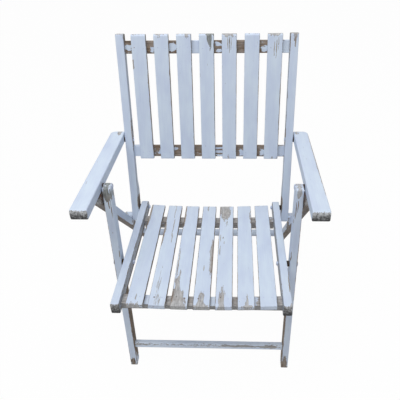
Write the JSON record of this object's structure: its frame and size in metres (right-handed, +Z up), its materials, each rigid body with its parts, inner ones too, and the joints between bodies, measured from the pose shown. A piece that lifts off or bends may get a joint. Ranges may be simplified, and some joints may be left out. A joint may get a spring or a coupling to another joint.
{
  "type": "folding garden armchair",
  "caption": "Folding garden armchair of painted wooden slats: leaning front legs, slanting rear legs, flat armrests and a reclined back that fold together on bolts.",
  "frame": {"origin": "on the floor, in the middle of the chair's width and depth", "axes": "+Z up, +Y to the chair's rear, +X to the right as seen from the front"},
  "size_m": [0.588, 0.6944, 0.8955],
  "materials": {
    "painted_wood": "old pale blue-white paint, weathered to bare grey-brown wood at ends and edges",
    "steel": "dull, weathered"
  },
  "bodies": {
    "front_legs": {"arm_front_bolts": "steel", "arm_front_washers": "steel", "front_leg_left": "painted_wood", "front_leg_right": "painted_wood", "front_stretcher": "painted_wood", "seat_pivot_bolts": "steel", "seat_pivot_nuts": "steel", "seat_pivot_washers": "steel"},
    "seat": {"seat_front_rail": "painted_wood", "seat_rail_left": "painted_wood", "seat_rail_right": "painted_wood", "seat_rear_rail": "painted_wood", "seat_slat_1": "painted_wood", "seat_slat_2": "painted_wood", "seat_slat_3": "painted_wood", "seat_slat_4": "painted_wood", "seat_slat_5": "painted_wood", "seat_slat_6": "painted_wood", "seat_slat_7": "painted_wood"},
    "back": {"arm_rear_bolts": "steel", "arm_rear_washers": "steel", "back_bottom_rail": "painted_wood", "back_pivot_bolts": "steel", "back_pivot_nuts": "steel", "back_pivot_washers": "steel", "back_slat_1": "painted_wood", "back_slat_2": "painted_wood", "back_slat_3": "painted_wood", "back_slat_4": "painted_wood", "back_slat_5": "painted_wood", "back_slat_6": "painted_wood", "back_slat_7": "painted_wood", "back_top_rail": "painted_wood", "stile_left": "painted_wood", "stile_right": "painted_wood", "stop_peg_left": "painted_wood", "stop_peg_right": "painted_wood"},
    "arm_left": {"arm_bracket_left": "steel", "armrest_left": "painted_wood", "rear_leg_pin_left": "steel"},
    "arm_right": {"arm_bracket_right": "steel", "armrest_right": "painted_wood", "rear_leg_pin_right": "steel"},
    "rear_legs": {"rear_leg_left": "painted_wood", "rear_leg_right": "painted_wood", "rear_stretcher": "painted_wood"}
  },
  "joints": [
    {"name": "seat_fold", "type": "hinge", "parent": "front_legs", "child": "seat", "pos_m": [0, -0.17517, 0.405], "axis": [1, 0, 0], "range_deg": [0, 73]},
    {"name": "back_fold", "type": "hinge", "parent": "seat", "child": "back", "pos_m": [0, 0.08583, 0.384], "axis": [1, 0, 0], "range_deg": [-73, 0]},
    {"name": "arm_left_fold", "type": "hinge", "parent": "front_legs", "child": "arm_left", "pos_m": [0, -0.12619, 0.629], "axis": [1, 0, 0], "range_deg": [0, 73]},
    {"name": "arm_right_fold", "type": "hinge", "parent": "front_legs", "child": "arm_right", "pos_m": [0, -0.12619, 0.629], "axis": [1, 0, 0], "range_deg": [0, 73]},
    {"name": "rear_leg_fold", "type": "hinge", "parent": "arm_left", "child": "rear_legs", "pos_m": [0, -0.15335, 0.60769], "axis": [1, 0, 0], "range_deg": [-114, 0]}
  ],
  "couplings": [
    {"joint": "back_fold", "follows": "seat_fold", "ratio": -1},
    {"joint": "arm_left_fold", "follows": "seat_fold", "ratio": 1},
    {"joint": "arm_right_fold", "follows": "seat_fold", "ratio": 1},
    {"joint": "rear_leg_fold", "follows": "seat_fold", "ratio": -1.56}
  ]
}
